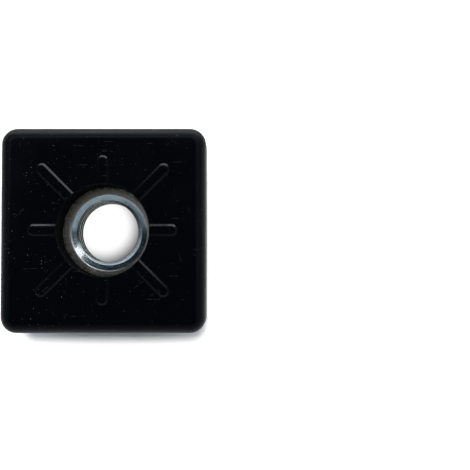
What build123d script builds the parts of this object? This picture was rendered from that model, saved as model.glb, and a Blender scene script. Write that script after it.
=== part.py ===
from build123d import *
import os
from math import cos, pi, radians, sin, sqrt, tan

# Threaded insert for the end of a square tube. Millimetres, +Z up.
# The plug stands on its open end: z = 0 is the rim of the open end, the axis
# of the thread is the Z axis, and the outer face of the head looks up.

# Tube that the plug closes. The head is as wide as the tube.
tube_size = 25.4            # 1 inch
tube_wall = 1.65            # 16 gauge

# Head, the part that stays outside the tube
head_thick = 6.0
head_corner = 2.0           # radius of the upright corners
face_round = 1.4            # rounding of the outer face's edge
shoulder_chamfer = 0.25     # on the edge of the underside, which meets the tube

# Body, the part that goes into the tube
body_clearance = 1.0        # gap from the body to the tube's inner wall
body_height = 11.0

# Barbs: three on each side of the body, sloped towards the open end
barb_count = 3
barb_first = 2.3            # height of the first lip above the shoulder
barb_pitch = 2.7
barb_bite = 0.55            # how far the lips stand past the tube's inner wall
barb_rise = 1.3             # from the lip to the top of its sloping side
barb_fall = 0.95            # from the lip to the foot of its underside
barb_corner_gap = 0.4       # from the barb's end to the body's corner
barb_end_top = 1.2          # how far the ends slant along the sloping side
barb_end_lip = 3.0          # how far the ends slant along the lip

# The barb nearest the open end leads the plug in: lower, shorter and arched
lead_bite = 0.2
lead_rise = 1.8
lead_corner_gap = 0.8
lead_end_top = 3.6
lead_end_lip = 3.3
lead_arch_steps = 5

# Steel bush with the thread, 3/8 inch with 16 turns to the inch
thread_diameter = 9.525
thread_pitch = 25.4 / 16
countersink_diameter = 9.9  # at each end of the bore
countersink_angle = 120.0   # from side to side of the cone
bush_length = 5.5
bush_edge = 0.2             # chamfer on the bush's outer edges
groove_width = 1.6          # groove round the bush that the plastic fills
groove_depth = 0.6

# Recess in the outer face, down to the bush
recess_diameter = 11.5
recess_depth = 5.5
bush_cover = 1.3            # how far the plastic reaches over the bush's end

# Cavity in the open end, up to the bush
cavity_clearance = 0.2      # all round the bush
cavity_chamfer = 0.3

# Star of ribs on the outer face
rib_count = 8
rib_width = 1.5
rib_height = 0.3
rib_chamfer = 0.25
rib_side_gap = 3.45         # from the rib's end to the side of the head
rib_corner_gap = 6.6        # from the rib's end to the corner of the head

# Worked out from the sizes above
tube_inside = tube_size - 2 * tube_wall
body_size = tube_inside - 2 * body_clearance
total_height = body_height + head_thick
bush_top = total_height - recess_depth
bush_bottom = bush_top - bush_length
bush_diameter = recess_diameter + 2 * bush_cover
cavity_diameter = bush_diameter + 2 * cavity_clearance
thread_depth = 5 / 8 * thread_pitch * cos(pi / 6)       # of a 60 degree inner thread
thread_minor_diameter = thread_diameter - 2 * thread_depth
countersink_reach = (countersink_diameter - thread_minor_diameter) / 2
countersink_depth = countersink_reach / tan(radians(countersink_angle / 2))


def head():
    block = extrude(RectangleRounded(tube_size, tube_size, head_corner), head_thick)
    block = fillet(block.faces().sort_by(Axis.Z)[-1].edges(), face_round)
    block = chamfer(block.faces().sort_by(Axis.Z)[0].edges(), shoulder_chamfer)
    return Pos(0, 0, body_height) * block


def body():
    return extrude(Rectangle(body_size, body_size), body_height)


def closed_solid(outlines):
    faces = [Face(Wire.make_polygon(outline, close=True)) for outline in outlines]
    return Solid(Shell(faces))


def barb(lip_z, bite, rise, corner_gap, end_top, end_lip, arch_steps):
    """One barb on the side of the body that faces +X."""
    wall = body_size / 2
    lip = tube_inside / 2 + bite
    end = wall - corner_gap
    foot_z = lip_z + barb_fall
    edge_y = end - end_lip

    def shoulder_line(side):
        points = []
        for step in range(arch_steps + 1):
            turn = pi / 2 * step / arch_steps
            y = side * (end - end_top + end_top * sin(turn))
            z = lip_z - rise * cos(turn)
            points.append(Vector(wall, y, z))
        return points

    left = shoulder_line(-1)
    right = shoulder_line(1)
    lip_left = Vector(lip, -edge_y, lip_z)
    lip_right = Vector(lip, edge_y, lip_z)
    foot_left = Vector(wall, -(end - barb_fall), foot_z)
    foot_right = Vector(wall, end - barb_fall, foot_z)

    outlines = [
        [left[0], right[0], lip_right, lip_left],
        [lip_left, lip_right, foot_right, foot_left],
        [lip_left, foot_left, left[-1]],
        [lip_right, right[-1], foot_right],
        left[::-1] + right + [foot_right, foot_left],
    ]
    for step in range(arch_steps):
        outlines.append([lip_left, left[step + 1], left[step]])
        outlines.append([lip_right, right[step], right[step + 1]])
    return closed_solid(outlines)


def barbs():
    pieces = []
    for level in range(barb_count):
        lip_z = body_height - barb_first - level * barb_pitch
        if level == barb_count - 1:
            tooth = barb(lip_z, lead_bite, lead_rise, lead_corner_gap,
                         lead_end_top, lead_end_lip, lead_arch_steps)
        else:
            tooth = barb(lip_z, barb_bite, barb_rise, barb_corner_gap,
                         barb_end_top, barb_end_lip, 1)
        pieces += [Rot(0, 0, 90 * side) * tooth for side in range(4)]
    return pieces


def rib(reach, angle):
    """One rib. It starts on the axis, and the recess cuts it back to its mouth."""
    length = reach - rib_width / 2
    bar = Pos(length / 2, 0) * Rectangle(length, rib_width)
    tip = Pos(length, 0) * Circle(rib_width / 2)
    solid = extrude(bar + tip, rib_height)
    solid = chamfer(solid.faces().sort_by(Axis.Z)[-1].edges(), rib_chamfer)
    return Rot(0, 0, angle) * Pos(0, 0, total_height) * solid


def ribs():
    reach_side = tube_size / 2 - rib_side_gap
    reach_corner = tube_size / 2 * sqrt(2) - rib_corner_gap
    pieces = []
    for number in range(rib_count):
        reach = reach_corner if number % 2 else reach_side
        pieces.append(rib(reach, 360 / rib_count * number))
    return pieces


def bush_outside():
    """The bush without its bore, which is also the pocket in the plastic."""
    shape = Pos(0, 0, bush_bottom) * extrude(Circle(bush_diameter / 2), bush_length)
    shape = chamfer(shape.edges().filter_by(GeomType.CIRCLE), bush_edge)
    middle = bush_bottom + (bush_length - groove_width) / 2
    ring = Circle(bush_diameter) - Circle(bush_diameter / 2 - groove_depth)
    return shape - Pos(0, 0, middle) * extrude(ring, groove_width)


def plug_body():
    solid = head() + body()
    solid += barbs()
    solid += ribs()
    solid -= Pos(0, 0, bush_top) * extrude(Circle(recess_diameter / 2), total_height)
    solid -= extrude(Circle(cavity_diameter / 2), bush_bottom)
    lead_in = Cone(cavity_diameter / 2 + cavity_chamfer, cavity_diameter / 2, cavity_chamfer,
                   align=(Align.CENTER, Align.CENTER, Align.MIN))
    solid -= lead_in
    return solid - bush_outside()


def threaded_bush():
    solid = bush_outside()
    bore = thread_minor_diameter / 2
    mouth = countersink_diameter / 2
    solid -= Pos(0, 0, bush_bottom) * extrude(Circle(bore), bush_length)
    cone = Cone(bore, mouth, countersink_depth, align=(Align.CENTER, Align.CENTER, Align.MIN))
    solid -= Pos(0, 0, bush_top - countersink_depth) * cone
    solid -= Pos(0, 0, bush_bottom + countersink_depth) * Rot(180, 0, 0) * cone
    return solid


parts = {
    "plug_body": plug_body(),
    "threaded_bush": threaded_bush(),
}

os.makedirs("parts", exist_ok=True)
for name, shape in parts.items():
    export_step(shape, "parts/" + name + ".step")
    print(name, round(shape.volume, 1), "mm3")
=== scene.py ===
import math

import bmesh
import bpy
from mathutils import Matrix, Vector


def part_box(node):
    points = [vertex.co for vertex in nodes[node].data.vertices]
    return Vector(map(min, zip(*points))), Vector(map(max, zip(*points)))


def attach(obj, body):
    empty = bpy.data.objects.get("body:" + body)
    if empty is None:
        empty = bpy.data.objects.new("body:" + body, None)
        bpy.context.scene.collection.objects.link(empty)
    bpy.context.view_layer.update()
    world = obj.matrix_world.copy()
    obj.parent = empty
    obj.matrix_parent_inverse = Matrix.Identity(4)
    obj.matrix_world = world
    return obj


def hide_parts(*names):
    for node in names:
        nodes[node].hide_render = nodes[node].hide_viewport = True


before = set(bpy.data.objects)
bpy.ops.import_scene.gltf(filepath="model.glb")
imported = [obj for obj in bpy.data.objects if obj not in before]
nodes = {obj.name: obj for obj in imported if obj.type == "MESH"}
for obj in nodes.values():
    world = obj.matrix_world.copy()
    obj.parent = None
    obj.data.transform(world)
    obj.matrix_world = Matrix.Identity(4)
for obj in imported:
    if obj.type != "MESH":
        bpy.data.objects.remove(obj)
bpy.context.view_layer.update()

mm = 0.001
white = (1, 1, 1, 1)
black = (0, 0, 0, 1)
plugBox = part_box("plug_body")
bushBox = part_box("threaded_bush")
bushMiddle = (bushBox[0].z + bushBox[1].z) / 2
bushReach = (bushBox[1].z - bushBox[0].z) / 2       # from its middle to an end face
print("frame loaded")


# Small helpers for objects and node trees

def newObject(name, data):
    thing = bpy.data.objects.new(name, data)
    bpy.context.scene.collection.objects.link(thing)
    return thing


def newMaterial(name):
    material = bpy.data.materials.new(name)
    material.use_nodes = True
    return material, material.node_tree


def addNode(tree, kind, values=None, **settings):
    node = tree.nodes.new(kind)
    for name, value in settings.items():
        setattr(node, name, value)
    for name, value in (values or {}).items():
        feed(tree, node.inputs[name], value)
    return node


def feed(tree, socket, value):      # a link where the value is a socket, else a fixed value
    if hasattr(value, "links"):
        tree.links.new(value, socket)
    else:
        socket.default_value = value


def calc(tree, operation, first, second=0.0):
    return addNode(tree, "ShaderNodeMath", {0: first, 1: second}, operation=operation).outputs[0]


def times(tree, first, *others):
    for other in others:
        first = calc(tree, "MULTIPLY", first, other)
    return first


def plus(tree, first, *others):
    for other in others:
        first = calc(tree, "ADD", first, other)
    return first


def fade(tree, value, start, end, low=0.0, high=1.0):       # a soft step between two values
    return addNode(tree, "ShaderNodeMapRange", {
        "Value": value, "From Min": start, "From Max": end, "To Min": low, "To Max": high},
        interpolation_type="SMOOTHSTEP").outputs[0]


def spread(tree, value, start, end, low, high):             # the same without the softness
    return addNode(tree, "ShaderNodeMapRange", {
        "Value": value, "From Min": start, "From Max": end, "To Min": low, "To Max": high}).outputs[0]


def blend(tree, share, first, second):
    node = addNode(tree, "ShaderNodeMix", {0: share, 6: first, 7: second}, data_type="RGBA")
    return node.outputs[2]


def noise(tree, vector, scale, detail=3.0, rough=0.55):
    return addNode(tree, "ShaderNodeTexNoise", {
        "Vector": vector, "Scale": scale, "Detail": detail, "Roughness": rough}).outputs[0]


def patches(tree, vector, scale, detail, rough, start, end):
    return fade(tree, noise(tree, vector, scale, detail, rough), start, end)


def vary(tree, noisy, level, swing):        # most of a noise lies between 0.3 and 0.7
    return spread(tree, noisy, 0.3, 0.7, level + swing[0], level + swing[1])


# Stage: floor, world, lamps and camera

floorLook = {
    "size": 3.0,
    "colour": (0.90, 0.865, 0.84, 1),
    "glow": 0.03,               # what the camera adds to the lit floor
    "paintedPoolGlow": 1.0,            # painted pool of light: the floor's glow where it shows through the bore
    "paintedPoolEdge": 0.10,           # painted shade: glow that is left at the pool's edge
    "paintedPoolPlace": (-2.0 * mm, 1.2 * mm),
    "paintedPoolInner": 3.0 * mm,
    "paintedPoolOuter": 5.7 * mm,
    "cavityRadius": 7.3 * mm,
}


def makeFloor():
    half = floorLook["size"] / 2
    mesh = bpy.data.meshes.new("studioFloor")
    corners = [(-half, -half, 0), (half, -half, 0), (half, half, 0), (-half, half, 0)]
    mesh.from_pydata(corners, [], [(0, 1, 2, 3)])
    floor = newObject("studioFloor", mesh)

    material, tree = newMaterial("floorWhite")
    tree.nodes.clear()
    out = addNode(tree, "ShaderNodeOutputMaterial")
    place = addNode(tree, "ShaderNodeTexCoord").outputs["Object"]
    fromAxis = addNode(tree, "ShaderNodeVectorMath", {0: place}, operation="LENGTH").outputs["Value"]
    # Under the cavity the floor takes no lamp light and only glows: a painted pool of light off the axis,
    # fading to painted shade at its edge
    under = calc(tree, "LESS_THAN", fromAxis, floorLook["cavityRadius"])
    matt = addNode(tree, "ShaderNodeBsdfDiffuse", {"Color": blend(tree, under, floorLook["colour"], black)})

    paintedPoolCentre = (*floorLook["paintedPoolPlace"], 0)
    fromPaintedPool = addNode(tree, "ShaderNodeVectorMath", {0: place, 1: paintedPoolCentre}, operation="DISTANCE")
    paintedPool = fade(tree, fromPaintedPool.outputs["Value"], floorLook["paintedPoolInner"], floorLook["paintedPoolOuter"],
                floorLook["paintedPoolGlow"], floorLook["paintedPoolEdge"])
    beside = times(tree, calc(tree, "SUBTRACT", 1.0, under), floorLook["glow"])
    level = plus(tree, times(tree, under, paintedPool), beside)
    path = addNode(tree, "ShaderNodeLightPath").outputs
    seen = calc(tree, "MAXIMUM", path["Is Camera Ray"], path["Is Glossy Ray"])
    seen = calc(tree, "MAXIMUM", seen, path["Is Transmission Ray"])
    glow = addNode(tree, "ShaderNodeEmission", {"Color": white, "Strength": times(tree, seen, level)})

    total = addNode(tree, "ShaderNodeAddShader", {0: matt.outputs[0], 1: glow.outputs[0]})
    tree.links.new(total.outputs[0], out.inputs["Surface"])
    mesh.materials.append(material)


# Each layer lies over those before it. Its two limits say where it starts and where it is full.
# "north" runs from -1 on the near side to 1 on the far side, "up" from 0 at the horizon to 1.
skyLook = {
    "middle": (0.012, 0.03, 0.045, 1),          # dark on the far side, half way up
    "overMiddle": [
        {"colour": (0.42, 0.50, 0.55, 1), "north": (0.06, -0.14)},      # cool light, near side
        {"colour": (1.5, 1.65, 1.8, 1), "north": (0.0, 0.5), "up": (0.68, 0.76)},
        {"colour": (0.02, 0.024, 0.028, 1), "north": (0.0, -0.25), "up": (0.70, 0.78)},
    ],
    "horizon": (0.30, 0.34, 0.38, 1),
    "overHorizon": [
        {"colour": (3.4, 4.0, 4.5, 1), "north": (0.84, 0.97)},
        {"colour": (0.62, 0.78, 0.95, 1), "north": (-0.1, -0.7)},
    ],
    "horizonEnds": (0.30, 0.42),
    "top": (0.105, 0.10, 0.095, 1),
    "topStarts": (0.89, 0.955),
}


def layered(tree, colour, layers, north, up):
    for layer in layers:
        share = fade(tree, north, *layer["north"])
        if "up" in layer:
            share = times(tree, fade(tree, up, *layer["up"]), share)
        colour = blend(tree, share, colour, layer["colour"])
    return colour


def makeSky():
    world = bpy.data.worlds.new("studioSky")
    bpy.context.scene.world = world
    world.use_nodes = True
    tree = world.node_tree
    tree.nodes.clear()
    out = addNode(tree, "ShaderNodeOutputWorld")
    direction = addNode(tree, "ShaderNodeTexCoord").outputs["Generated"]
    split = addNode(tree, "ShaderNodeSeparateXYZ", {0: direction}).outputs
    up = split["Z"]
    justOverOne = 1.0001                # keeps the root above 0 straight up
    level = calc(tree, "SQRT", calc(tree, "SUBTRACT", justOverOne, calc(tree, "POWER", up, 2.0)))
    north = calc(tree, "DIVIDE", split["Y"], level)

    middle = layered(tree, skyLook["middle"], skyLook["overMiddle"], north, up)
    low = layered(tree, skyLook["horizon"], skyLook["overHorizon"], north, up)
    dome = blend(tree, fade(tree, up, *skyLook["horizonEnds"]), low, middle)
    dome = blend(tree, fade(tree, up, *skyLook["topStarts"]), dome, skyLook["top"])
    lit = addNode(tree, "ShaderNodeBackground", {"Color": dome, "Strength": 1.0})
    shown = addNode(tree, "ShaderNodeBackground", {"Color": white, "Strength": 1.0})
    seen = addNode(tree, "ShaderNodeLightPath").outputs["Is Camera Ray"]
    pick = addNode(tree, "ShaderNodeMixShader", {0: seen, 1: lit.outputs[0], 2: shown.outputs[0]})
    tree.links.new(pick.outputs[0], out.inputs["Surface"])


lampLook = {        # places and sizes in metres; each lamp looks at the plug's face
    "farStrip": {"place": (0.02, 0.60, 0.07), "size": (1.05, 0.13), "watts": 3.9,
                 "colour": (0.88, 0.95, 1.0)},
    "windowStrip": {"place": (0.285, 0.239, 0.335), "size": (0.10, 0.06), "watts": 0.10,
                    "colour": (1.0, 1.0, 1.0)},
    "highStrip": {"place": (0.127, 0.272, 0.42), "size": (0.10, 0.04), "watts": 0.08,
                  "colour": (1.0, 1.0, 1.0)},
}
overheadLook = {
    "from": (0.03, 0.12, 1.0),          # a few degrees off the plumb line
    "spread": math.radians(5.5),        # softness of its shadows
    "strength": 3.05,
}


def makeLamps():
    for name, look in lampLook.items():
        lamp = bpy.data.lights.new(name, "AREA")
        lamp.shape = "RECTANGLE"
        lamp.size, lamp.size_y = look["size"]
        lamp.energy = look["watts"]
        lamp.color = look["colour"]
        holder = newObject(name, lamp)
        holder.location = look["place"]
        aim = Vector((0, 0, plugBox[1].z)) - Vector(look["place"])
        holder.rotation_euler = aim.to_track_quat("-Z", "Y").to_euler()
    # Overhead light for the matt surfaces. Gloss doesn't show it, so the face stays dark.
    lamp = bpy.data.lights.new("overhead", "SUN")
    lamp.energy = overheadLook["strength"]
    lamp.angle = overheadLook["spread"]
    holder = newObject("overhead", lamp)
    holder.rotation_euler = Vector(overheadLook["from"]).to_track_quat("Z", "Y").to_euler()
    holder.visible_glossy = False


cameraLook = {
    "height": 0.127,            # above the outer face
    "focal": 79.2,
    "sensor": 36.0,
    "clipStart": 0.005,
    "imageSize": 470,
    "axisInImage": (102.2, 230.2),
    "aside": -5.1 * mm,         # from the axis, towards the near side
    "ribHeight": 0.3 * mm,      # the ribs' tops are this far above the face
}


def makeCamera():
    data = bpy.data.cameras.new("viewCamera")
    data.lens = cameraLook["focal"]
    data.sensor_width = cameraLook["sensor"]
    data.clip_start = cameraLook["clipStart"]
    camera = newObject("viewCamera", data)
    perPixel = cameraLook["height"] * data.sensor_width / data.lens / cameraLook["imageSize"]
    middle = cameraLook["imageSize"] / 2
    column, row = cameraLook["axisInImage"]
    faceHeight = plugBox[1].z - cameraLook["ribHeight"]
    camera.location = ((middle - column) * perPixel, cameraLook["aside"],
                       faceHeight + cameraLook["height"])
    # Leans until the axis comes to its row in the image
    below = (row - middle) * perPixel
    lean = math.atan2(-cameraLook["aside"] + below, cameraLook["height"])
    camera.rotation_euler = (lean, 0, 0)
    bpy.context.scene.camera = camera


makeFloor()
makeSky()
makeLamps()
makeCamera()
bpy.context.scene.view_settings.view_transform = "Standard"
print("stage made")


# Shared effects for the materials

def newGroup(name, inputs, outputs):
    tree = bpy.data.node_groups.new(name, "ShaderNodeTree")
    kinds = {"vector": "NodeSocketVector", "value": "NodeSocketFloat"}
    for label, kind, value in inputs:
        socket = tree.interface.new_socket(label, in_out="INPUT", socket_type=kinds[kind])
        socket.default_value = value
    for label, kind in outputs:
        tree.interface.new_socket(label, in_out="OUTPUT", socket_type=kinds[kind])
    given = addNode(tree, "NodeGroupInput").outputs if inputs else None
    return tree, given, addNode(tree, "NodeGroupOutput").inputs


def useGroup(tree, group, values=None):
    return addNode(tree, "ShaderNodeGroup", values, node_tree=group).outputs


def placeGroup():       # where a point lies, in millimetres
    tree, _, out = newGroup("partPlace", [], [
        ("Place", "vector"), ("Radius", "value"), ("Square", "value"),
        ("Height", "value"), ("X", "value"), ("Y", "value")])
    place = addNode(tree, "ShaderNodeTexCoord").outputs["Object"]
    place = addNode(tree, "ShaderNodeVectorMath", {0: place, "Scale": 1 / mm}, operation="SCALE").outputs[0]
    split = addNode(tree, "ShaderNodeSeparateXYZ", {0: place}).outputs
    squares = plus(tree, calc(tree, "POWER", split["X"], 2.0), calc(tree, "POWER", split["Y"], 2.0))
    wide = calc(tree, "MAXIMUM", calc(tree, "ABSOLUTE", split["X"]), calc(tree, "ABSOLUTE", split["Y"]))
    for label, value in (("Place", place), ("Radius", calc(tree, "SQRT", squares)), ("Square", wide),
                         ("Height", split["Z"]), ("X", split["X"]), ("Y", split["Y"])):
        tree.links.new(value, out[label])
    return tree


def speckGroup():       # scattered small dots
    tree, given, out = newGroup("specks", [
        ("Place", "vector", (0, 0, 0)), ("Spacing", "value", 1.0), ("Size", "value", 0.1),
        ("Share", "value", 0.1)], [("Mask", "value")])
    perSpacing = calc(tree, "DIVIDE", 1.0, given["Spacing"])
    cells = addNode(tree, "ShaderNodeTexVoronoi", {"Vector": given["Place"], "Scale": perSpacing})
    random = addNode(tree, "ShaderNodeSeparateColor", {0: cells.outputs["Color"]}).outputs
    chosen = calc(tree, "LESS_THAN", random[0], given["Share"])
    smallest, largest = 0.5, 1.2        # dots, as shares of the size
    core = 0.4                          # share of a dot that shows in full
    reach = calc(tree, "DIVIDE", given["Size"], given["Spacing"])
    reach = times(tree, reach, spread(tree, random[1], 0, 1, smallest, largest))
    dot = fade(tree, cells.outputs["Distance"], reach, times(tree, reach, core))
    tree.links.new(times(tree, chosen, dot), out["Mask"])
    return tree


def scratchGroup():     # short thin dashes that run one way
    tree, given, out = newGroup("scratches", [
        ("Place", "vector", (0, 0, 0)), ("Angle", "value", 0.0), ("Length", "value", 2.0),
        ("Width", "value", 0.05), ("Share", "value", 0.1)], [("Mask", "value")])
    turned = addNode(tree, "ShaderNodeVectorRotate", {"Vector": given["Place"], "Angle": given["Angle"]},
                     rotation_type="Z_AXIS").outputs[0]
    perLength = calc(tree, "DIVIDE", 1.0, given["Length"])
    perWidth = 1.4                      # cells to one millimetre across
    lean = 0.3                          # most that a dash leans either way
    dashEnd, dashFull = 0.42, 0.15      # from its middle, as shares of the length
    stretch = addNode(tree, "ShaderNodeCombineXYZ", {"X": perLength, "Y": perWidth, "Z": perWidth})
    spaced = addNode(tree, "ShaderNodeVectorMath", {0: turned, 1: stretch.outputs[0]},
                     operation="MULTIPLY").outputs[0]
    cells = addNode(tree, "ShaderNodeTexVoronoi", {"Vector": spaced, "Scale": 1.0, "Randomness": 1.0}).outputs
    offset = addNode(tree, "ShaderNodeVectorMath", {0: spaced, 1: cells["Position"]}, operation="SUBTRACT")
    split = addNode(tree, "ShaderNodeSeparateXYZ", {0: offset.outputs[0]}).outputs
    random = addNode(tree, "ShaderNodeSeparateColor", {0: cells["Color"]}).outputs
    chosen = calc(tree, "LESS_THAN", random[0], given["Share"])
    slant = times(tree, split["X"], spread(tree, random[1], 0, 1, -lean, lean))
    across = calc(tree, "ABSOLUTE", plus(tree, split["Y"], slant))
    line = fade(tree, across, times(tree, given["Width"], perWidth), 0.0)
    ends = fade(tree, calc(tree, "ABSOLUTE", split["X"]), dashEnd, dashFull)
    tree.links.new(times(tree, line, ends, chosen), out["Mask"])
    return tree


partPlace = placeGroup()
specks = speckGroup()
scratches = scratchGroup()


# Plug: the moulding, with its sharp edges softened

plugLook = {
    "weld": 0.002 * mm,
    "flat": math.radians(0.8),      # faces closer than this are one face
    "edgeWidth": 0.08 * mm,
    "edgeAngle": math.radians(24),
    "edgeSteps": 2,
    "colour": (0.0001, 0.0004, 0.0011, 1),
    "bodyColour": (0.004, 0.0044, 0.0052, 1),   # rubbed greyer where it goes into the tube
    "speckColour": (0.10, 0.115, 0.13, 1),
    "scuffColour": (0.30, 0.31, 0.32, 1),
    "refraction": 1.20,             # low, for a dull skin without a bright rim
    "roughness": 0.19,
    "sideRoughness": 0.45,          # of the head's rounded edge and sides
    "bodyRoughness": 0.46,
    "recessRoughness": 0.85,
    "markRoughness": 0.08,          # added on marks and scratches
    "headSwing": (-0.04, 0.06),     # how far the roughness varies
    "bodySwing": (-0.06, 0.1),
    # Millimetres above the floor or from the axis
    "bodyTop": (11.02, 10.95),      # the body begins under the head
    "edgeTop": (16.997, 16.95),     # the head's rounded edge begins under the face
    "recessSide": (5.87, 5.77),
    "bushTop": 11.5,
    "lips": (11.25, 11.52),         # out along the barbs
    "partingSides": 9.9,            # the parting line runs on the sides past this
    "partingHalf": (0.07, 0.02),
    "partingTop": (15.4, 15.0),
    # How much of each mark shows
    "dust": {"Spacing": 0.34, "Size": 0.055, "Share": 0.45},
    "knocks": {"Spacing": 1.5, "Size": 0.12, "Share": 0.22},
    "scratches": [
        {"Angle": 0.02, "Length": 3.0, "Width": 0.035, "Share": 0.08},
        {"Angle": 1.35, "Length": 1.8, "Width": 0.035, "Share": 0.03},
        {"Angle": 2.5, "Length": 3.4, "Width": 0.035, "Share": 0.02},
    ],
    "leftward": (6.0, -8.0, 0.35, 1.0),     # marks from right to left, and their share there
    "marksShown": 0.75,
    "scratchesShown": 0.12,
    "scuffShown": 0.38,
    "rubShown": 0.04,
    # Noise: cells to one millimetre, detail, its strength, and where patches of it fade in
    "cloudNoise": (0.22, 4.0),
    "fineNoise": (9.0, 3.0, 0.6),
    "scuffNoise": (7.0, 3.0),
    "dustPatches": (0.45, 4.0, 0.6, 0.36, 0.62),
    "scratchPatches": (1.6, 2.0, 0.55, 0.42, 0.62),
    "scuffPatches": (1.8, 5.0, 0.7, 0.46, 0.64),
    "scuffPlaces": (0.14, 2.0, 0.55, 0.44, 0.56),
    "rubPatches": (0.8, 6.0, 0.7, 0.45, 0.75),
    # Millimetres of relief
    "headGrain": 0.004,
    "bodyGrain": 0.016,
    "waves": 0.02,
    "partingLine": 0.05,
    "scratchDepth": 0.01,
    "scuffRelief": 0.04,
}


def copyOfNode(name, copyName):
    mesh = nodes[name].data.copy()
    mesh.name = copyName
    mesh.materials.clear()
    work = bmesh.new()
    work.from_mesh(mesh)
    bmesh.ops.remove_doubles(work, verts=work.verts, dist=plugLook["weld"])
    bmesh.ops.dissolve_limit(work, angle_limit=plugLook["flat"], verts=work.verts, edges=work.edges)
    bmesh.ops.recalc_face_normals(work, faces=work.faces)
    for face in work.faces:
        face.smooth = True
    work.to_mesh(mesh)
    work.free()
    if "custom_normal" in mesh.attributes:
        mesh.attributes.remove(mesh.attributes["custom_normal"])
    return newObject(copyName, mesh)


def makePlug():
    plug = copyOfNode("plug_body", "plugBody")
    soft = plug.modifiers.new("softEdges", "BEVEL")
    soft.limit_method = "ANGLE"
    soft.angle_limit = plugLook["edgeAngle"]
    soft.width = plugLook["edgeWidth"]
    soft.segments = plugLook["edgeSteps"]
    soft.harden_normals = True
    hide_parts("plug_body")
    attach(plug, "root")
    return plug


def plasticMarks(tree, place, x):       # dust and knocks, more of them on the left, and scratches
    look = plugLook
    dust = useGroup(tree, specks, {"Place": place, **look["dust"]})["Mask"]
    dust = times(tree, dust, patches(tree, place, *look["dustPatches"]))
    knocks = useGroup(tree, specks, {"Place": place, **look["knocks"]})["Mask"]
    marks = times(tree, calc(tree, "MAXIMUM", dust, knocks), fade(tree, x, *look["leftward"]))
    lines = 0.0
    for scratch in look["scratches"]:
        line = useGroup(tree, scratches, {"Place": place, **scratch})["Mask"]
        lines = calc(tree, "MAXIMUM", lines, line)
    return marks, times(tree, lines, patches(tree, place, *look["scratchPatches"]))


def plasticWear(tree, place, square, onBody):       # scuffed lips of the barbs, and the body's rub
    look = plugLook
    lips = times(tree, fade(tree, square, *look["lips"]), onBody)
    patchy = times(tree, patches(tree, place, *look["scuffPatches"]),
                   patches(tree, place, *look["scuffPlaces"]))
    rubbed = patches(tree, place, *look["rubPatches"])
    return times(tree, lips, patchy), times(tree, onBody, rubbed)


def plasticRoughness(tree, at, cloud, fine, onBody, marked):
    look = plugLook
    onEdge = fade(tree, at["Height"], *look["edgeTop"])
    head = vary(tree, cloud, look["roughness"], look["headSwing"])
    head = plus(tree, head, times(tree, onEdge, look["sideRoughness"] - look["roughness"]))
    body = vary(tree, fine, look["bodyRoughness"], look["bodySwing"])
    rough = plus(tree, times(tree, head, calc(tree, "SUBTRACT", 1.0, onBody)), times(tree, body, onBody))
    rough = plus(tree, rough, times(tree, marked, look["markRoughness"]))
    inRecess = times(tree, fade(tree, at["Radius"], *look["recessSide"]),
                     calc(tree, "GREATER_THAN", at["Height"], look["bushTop"]))
    return calc(tree, "MAXIMUM", rough, times(tree, inRecess, look["recessRoughness"]))


def plasticRelief(tree, at, cloud, fine, onBody, lines, scuff):
    look = plugLook
    onSide = calc(tree, "GREATER_THAN", calc(tree, "ABSOLUTE", at["Y"]), look["partingSides"])
    parting = times(tree, fade(tree, calc(tree, "ABSOLUTE", at["X"]), *look["partingHalf"]), onSide,
                    fade(tree, at["Height"], *look["partingTop"]))
    grain = times(tree, fine, spread(tree, onBody, 0, 1, look["headGrain"], look["bodyGrain"]))
    rough = times(tree, scuff, times(tree, noise(tree, at["Place"], *look["scuffNoise"]), look["scuffRelief"]))
    return plus(tree, grain, times(tree, cloud, look["waves"]), times(tree, parting, look["partingLine"]),
                times(tree, lines, -look["scratchDepth"]), rough)


def plasticMaterial():
    material, tree = newMaterial("blackPlastic")
    shader = tree.nodes["Principled BSDF"]
    at = useGroup(tree, partPlace)
    look = plugLook
    onBody = fade(tree, at["Height"], *look["bodyTop"])
    cloud = noise(tree, at["Place"], *look["cloudNoise"])
    fine = noise(tree, at["Place"], *look["fineNoise"])
    marks, lines = plasticMarks(tree, at["Place"], at["X"])
    scuff, rub = plasticWear(tree, at["Place"], at["Square"], onBody)

    colour = blend(tree, onBody, look["colour"], look["bodyColour"])
    for mask, shown, tint in ((rub, "rubShown", "scuffColour"), (marks, "marksShown", "speckColour"),
                              (lines, "scratchesShown", "speckColour"), (scuff, "scuffShown", "scuffColour")):
        colour = blend(tree, times(tree, mask, look[shown]), colour, look[tint])
    tree.links.new(colour, shader.inputs["Base Color"])
    marked = calc(tree, "MAXIMUM", marks, lines)
    tree.links.new(plasticRoughness(tree, at, cloud, fine, onBody, marked), shader.inputs["Roughness"])
    shader.inputs["IOR"].default_value = look["refraction"]
    relief = plasticRelief(tree, at, cloud, fine, onBody, lines, scuff)
    bump = addNode(tree, "ShaderNodeBump", {"Strength": 1.0, "Distance": mm, "Height": relief})
    tree.links.new(bump.outputs[0], shader.inputs["Normal"])
    return material


plug = makePlug()
plug.data.materials.append(plasticMaterial())
print("plug made")


# Bush: a turned section swept round its axis, with the thread cut into its bore

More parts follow.
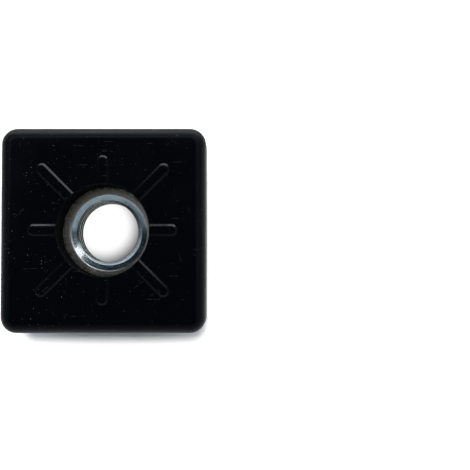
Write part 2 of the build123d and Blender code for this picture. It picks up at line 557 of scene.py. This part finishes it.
bushLook = {
    "around": 144,                  # faces in one turn
    "threadSteps": 30,              # section points to one pitch
    "roundSteps": 5,
    "pitch": 25.4 / 16 * mm,
    "minorRadius": 3.88 * mm,
    "majorRadius": 4.76 * mm,
    "mouthRadius": 4.93 * mm,
    "crestFlat": 0.25,              # share of half a pitch
    "rootFlat": 0.875,
    "plainEnd": 0.56 * mm,          # from an end face to where the thread starts
    "runOut": 0.5 * mm,
    "countersink": math.radians(60),    # from the axis
    "mouthRound": 0.45 * mm,        # where an end face meets its countersink
    "landWidth": 0.30 * mm,         # narrow flatter ring between a countersink and the bore
    "landSlope": math.radians(15),
    "landRound": 0.06 * mm,
    "boreRound": 0.06 * mm,
    "mouthDepth": 0.54 * mm,        # the countersinks are cut this deep
    "mouthAside": (0.18 * mm, -0.10 * mm),      # and a little off the axis
    "mouthMargin": 0.1 * mm,        # past the mouth nothing moves with them
    "grooveWidth": 1.6 * mm,
    "grooveDepth": 0.6 * mm,
    "outerChamfer": 0.2 * mm,
    "weld": 0.0005 * mm,
    "sharpAngle": math.radians(28),
    "colour": (0.62, 0.69, 0.73, 1),
    "endColour": (0.90, 0.86, 0.77, 1),         # the flat end has lost the plating's blue
    # for soil, and for the painted shade
    "soilAndShadeColour": (0.05, 0.045, 0.04, 1),
    "roughness": 0.15,
    "endRoughness": 0.27,
    "boreRoughness": 0.26,
    "ringSwing": (-0.04, 0.08),     # how far the roughness varies
    "cloudSwing": (-0.03, 0.05),
    # Millimetres from an end face, from the middle or from the axis
    "endStarts": (0.05, 0.01),
    "boreStarts": (0.35, 0.55),
    "nearSide": (2.0, -5.0),
    "outside": (5.2, 5.75),
    # Noise: cells to one millimetre, detail, its strength, and where patches of it fade in
    "ringsPerMm": 9.0,
    "ringDrift": 0.16,
    "ringNoise": (1.0, 4.0, 0.7),
    "cloudNoise": (0.7, 4.0),
    "fleckPatches": (3.2, 5.0, 0.65, 0.60, 0.72),
    "outerPatches": (1.3, 5.0, 0.7, 0.42, 0.62),
    # How much of the soil and of the painted shade shows, and how much darker the outside of the flat ends is
    "ringSoil": 0.30,
    "fleckSoil": 0.25,
    "endFleckSoil": 0.4,            # more of it on the flat ends
    # painted shade: the bore darker, standing in for the dark that its thread reflects
    "borePaintedShade": 0.78,
    "nearPaintedShade": 0.68,                # painted shade, darker on the near side of the flat ends
    "outerDarkening": 0.85,              # darker round the outside of the flat ends, in patches
    # Millimetres of relief
    "ringRelief": 0.012,
    "cloudRelief": 0.03,
}


def roundedCorner(before, corner, after, radius):
    back = (before - corner).normalized()
    ahead = (after - corner).normalized()
    half = back.angle(ahead) / 2
    reach = radius / math.tan(half)
    centre = corner + (back + ahead).normalized() * (radius / math.sin(half))
    first = corner + back * reach - centre
    last = corner + ahead * reach - centre
    steps = bushLook["roundSteps"]
    return [centre + first.slerp(last, step / steps) * radius for step in range(steps + 1)]


def bushSection():      # closed outline of the bush's wall, radius along X
    low, high = bushBox[0].z, bushBox[1].z
    outer = bushBox[1].x
    bore, mouth = bushLook["minorRadius"], bushLook["mouthRadius"]
    land = bushLook["landWidth"]
    drop = land * math.tan(bushLook["landSlope"])
    dip = (mouth - bore - land) / math.tan(bushLook["countersink"]) + drop
    edge = bushLook["outerChamfer"]
    half = bushLook["grooveWidth"] / 2
    neck = outer - bushLook["grooveDepth"]
    mouthRound, landRound, boreRound = bushLook["mouthRound"], bushLook["landRound"], bushLook["boreRound"]
    outline = [         # radius, height, rounding
        (outer - edge, low, 0), (outer, low + edge, 0),
        (outer, bushMiddle - half, 0), (neck, bushMiddle - half, 0),
        (neck, bushMiddle + half, 0), (outer, bushMiddle + half, 0),
        (outer, high - edge, 0), (outer - edge, high, 0),
        (mouth, high, mouthRound), (bore + land, high - dip + drop, landRound),
        (bore, high - dip, boreRound), (bore, low + dip, boreRound),
        (bore + land, low + dip - drop, landRound), (mouth, low, mouthRound),
    ]
    corners = [Vector((radius, 0, z)) for radius, z, rounding in outline]
    points = []
    for index, corner in enumerate(corners):
        rounding = outline[index][2]
        after = corners[(index + 1) % len(corners)]
        if rounding:
            points += roundedCorner(corners[index - 1], corner, after, rounding)
        else:
            points.append(corner)
    return points + [corners[0]]


def fineSection(points):        # more points where the thread will be
    stretch = bushLook["pitch"] / bushLook["threadSteps"]
    threadEdge = bushLook["majorRadius"] * 1.001
    fine = [points[0]]
    for before, after in zip(points, points[1:]):
        inThread = max(before.x, after.x) <= threadEdge
        steps = max(1, math.ceil((after - before).length / stretch)) if inThread else 1
        for step in range(1, steps + 1):
            fine.append(before.lerp(after, step / steps))
    return fine


threadInputs = {
    "Section": "Object", "Section Points": "Int", "Around": "Int", "Pitch": "Float",
    "Minor Radius": "Float", "Major Radius": "Float", "Crest Flat": "Float", "Root Flat": "Float",
    "Thread Middle": "Float", "Thread Half": "Float", "Run Out": "Float", "Material": "Material",
}


def threadTree():
    tree = bpy.data.node_groups.new("threadedSweep", "GeometryNodeTree")
    tree.interface.new_socket("Geometry", in_out="INPUT", socket_type="NodeSocketGeometry")
    sockets = {}
    for name, kind in threadInputs.items():
        socket = tree.interface.new_socket(name, in_out="INPUT", socket_type="NodeSocket" + kind)
        sockets[name] = socket.identifier
    tree.interface.new_socket("Geometry", in_out="OUTPUT", socket_type="NodeSocketGeometry")
    given = addNode(tree, "NodeGroupInput").outputs
    out = addNode(tree, "NodeGroupOutput")

    # One column of the grid for each step round the axis, one row for each point of the section
    section = addNode(tree, "GeometryNodeObjectInfo", {"Object": given["Section"]}).outputs["Geometry"]
    columns = plus(tree, given["Around"], 1.0)
    grid = addNode(tree, "GeometryNodeMeshGrid", {
        "Vertices X": given["Section Points"], "Vertices Y": columns})
    number = addNode(tree, "GeometryNodeInputIndex").outputs[0]
    along = calc(tree, "FLOOR", calc(tree, "DIVIDE", plus(tree, number, 0.5), columns))
    around = calc(tree, "SUBTRACT", number, times(tree, along, columns))
    turn = calc(tree, "DIVIDE", around, given["Around"])
    angle = times(tree, turn, math.tau)
    place = addNode(tree, "GeometryNodeInputPosition").outputs[0]
    sample = addNode(tree, "GeometryNodeSampleIndex", {"Geometry": section, "Value": place, "Index": along},
                     data_type="FLOAT_VECTOR", domain="POINT")
    point = addNode(tree, "ShaderNodeSeparateXYZ", {0: sample.outputs["Value"]}).outputs

    # Height above the helix, as a share of the pitch, gives the thread's profile
    phase = calc(tree, "SUBTRACT", calc(tree, "DIVIDE", point["Z"], given["Pitch"]), turn)
    fromCrest = calc(tree, "ABSOLUTE", calc(tree, "SUBTRACT", calc(tree, "FRACT", phase), 0.5))
    profile = spread(tree, times(tree, fromCrest, 2.0), given["Crest Flat"], given["Root Flat"],
                     given["Minor Radius"], given["Major Radius"])
    # Near its ends the thread runs out into the plain bore
    away = calc(tree, "ABSOLUTE", calc(tree, "SUBTRACT", point["Z"], given["Thread Middle"]))
    depth = calc(tree, "DIVIDE", calc(tree, "SUBTRACT", given["Thread Half"], away), given["Run Out"])
    depth = calc(tree, "MINIMUM", calc(tree, "MAXIMUM", depth, 0.0), 1.0)
    cut = times(tree, calc(tree, "SUBTRACT", profile, given["Minor Radius"]), depth)
    radius = calc(tree, "MAXIMUM", point["X"], plus(tree, given["Minor Radius"], cut))

    swept = addNode(tree, "ShaderNodeCombineXYZ", {
        "X": times(tree, radius, calc(tree, "COSINE", angle)),
        "Y": times(tree, radius, calc(tree, "SINE", angle)), "Z": point["Z"]}).outputs[0]
    moved = addNode(tree, "GeometryNodeSetPosition", {"Geometry": grid.outputs["Mesh"], "Position": swept})
    closed = addNode(tree, "GeometryNodeMergeByDistance", {
        "Geometry": moved.outputs[0], "Distance": bushLook["weld"]})
    real = addNode(tree, "GeometryNodeRealizeInstances", {"Geometry": closed.outputs[0]})
    painted = addNode(tree, "GeometryNodeSetMaterial", {
        "Geometry": real.outputs[0], "Material": given["Material"]})
    tree.links.new(painted.outputs[0], out.inputs[0])
    return tree, sockets


def bakeNodes(holder, name):
    graph = bpy.context.evaluated_depsgraph_get()
    mesh = bpy.data.meshes.new_from_object(holder.evaluated_get(graph))
    mesh.name = name
    bpy.data.objects.remove(holder)
    return newObject(name, mesh)


def moveMouths(mesh):       # the countersinks off the axis, with the bore and the outside in place
    start = bushReach - bushLook["mouthDepth"]
    reach = bushLook["mouthRadius"] + bushLook["mouthMargin"]
    across, back = bushLook["mouthAside"]
    for vertex in mesh.vertices:
        radius = math.hypot(vertex.co.x, vertex.co.y)
        share = min(max((radius - bushLook["minorRadius"]) / bushLook["landWidth"], 0.0), 1.0)
        if abs(vertex.co.z - bushMiddle) > start and radius < reach:
            vertex.co.x += across * share
            vertex.co.y += back * share


def outwardFaces(mesh):
    work = bmesh.new()
    work.from_mesh(mesh)
    bmesh.ops.recalc_face_normals(work, faces=work.faces)
    for face in work.faces:
        face.smooth = True
    for edge in work.edges:
        edge.smooth = not edge.is_manifold or edge.calc_face_angle(0) < bushLook["sharpAngle"]
    work.to_mesh(mesh)
    work.free()


def makeBush(material):
    points = fineSection(bushSection())
    line = bpy.data.meshes.new("bushSection")
    line.from_pydata(points, [(i, i + 1) for i in range(len(points) - 1)], [])
    section = newObject("bushSection", line)

    holder = newObject("bushHolder", bpy.data.meshes.new("bushHolder"))
    tree, sockets = threadTree()
    sweep = holder.modifiers.new("threadedSweep", "NODES")
    sweep.node_group = tree
    values = {
        "Section": section, "Section Points": len(points), "Around": bushLook["around"],
        "Pitch": bushLook["pitch"], "Minor Radius": bushLook["minorRadius"],
        "Major Radius": bushLook["majorRadius"], "Crest Flat": bushLook["crestFlat"],
        "Root Flat": bushLook["rootFlat"], "Thread Middle": bushMiddle,
        "Thread Half": bushReach - bushLook["plainEnd"], "Run Out": bushLook["runOut"],
        "Material": material,
    }
    for name, value in values.items():
        sweep[sockets[name]] = value
    piece = bakeNodes(holder, "threadedBush")
    bpy.data.objects.remove(section)
    moveMouths(piece.data)
    outwardFaces(piece.data)
    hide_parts("threaded_bush")
    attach(piece, "root")
    print("bush made:", len(piece.data.polygons), "faces")


def steelColour(tree, at, rings, onEnd, inBore):
    look = bushLook
    flecks = patches(tree, at["Place"], *look["fleckPatches"])
    flecksShown = plus(tree, times(tree, onEnd, look["endFleckSoil"]), look["fleckSoil"])
    nearSide = fade(tree, at["Y"], *look["nearSide"])
    outside = fade(tree, at["Radius"], *look["outside"])
    patchy = patches(tree, at["Place"], *look["outerPatches"])
    soilsAndShade = (
        vary(tree, rings, 0.0, (0.0, look["ringSoil"])),
        times(tree, flecks, flecksShown),
        # painted shade in the bore
        times(tree, inBore, look["borePaintedShade"]),
        # painted shade: the flat ends darker on their near side
        times(tree, nearSide, look["nearPaintedShade"], onEnd),
        times(tree, outside, onEnd, patchy, look["outerDarkening"]),
    )
    colour = blend(tree, onEnd, look["colour"], look["endColour"])
    for soil in soilsAndShade:
        colour = blend(tree, soil, colour, look["soilAndShadeColour"])
    return colour


def steelRoughness(tree, rings, cloud, onEnd, inBore):
    look = bushLook
    turned = look["roughness"]
    return plus(tree, vary(tree, rings, turned, look["ringSwing"]),
                times(tree, onEnd, look["endRoughness"] - turned),
                times(tree, inBore, look["boreRoughness"] - turned),
                vary(tree, cloud, 0.0, look["cloudSwing"]))


def steelMaterial():
    material, tree = newMaterial("zincSteel")
    shader = tree.nodes["Principled BSDF"]
    at = useGroup(tree, partPlace)
    look = bushLook
    reach = bushReach / mm
    fromMiddle = calc(tree, "ABSOLUTE", calc(tree, "SUBTRACT", at["Height"], bushMiddle / mm))
    onEnd = fade(tree, fromMiddle, *(reach - inset for inset in look["endStarts"]))
    inBore = fade(tree, fromMiddle, *(reach - inset for inset in look["boreStarts"]))

    # Rings left by the turning tool, which drift a little on their way round
    ringPlace = addNode(tree, "ShaderNodeCombineXYZ", {
        "X": times(tree, at["Radius"], look["ringsPerMm"]),
        "Y": times(tree, at["Height"], look["ringsPerMm"]),
        "Z": times(tree, plus(tree, at["X"], at["Y"]), look["ringDrift"])}).outputs[0]
    rings = noise(tree, ringPlace, *look["ringNoise"])
    cloud = noise(tree, at["Place"], *look["cloudNoise"])

    tree.links.new(steelColour(tree, at, rings, onEnd, inBore), shader.inputs["Base Color"])
    shader.inputs["Metallic"].default_value = 1.0
    tree.links.new(steelRoughness(tree, rings, cloud, onEnd, inBore), shader.inputs["Roughness"])
    relief = plus(tree, times(tree, rings, look["ringRelief"]), times(tree, cloud, look["cloudRelief"]))
    bump = addNode(tree, "ShaderNodeBump", {"Strength": 1.0, "Distance": mm, "Height": relief})
    tree.links.new(bump.outputs[0], shader.inputs["Normal"])
    return material


makeBush(steelMaterial())
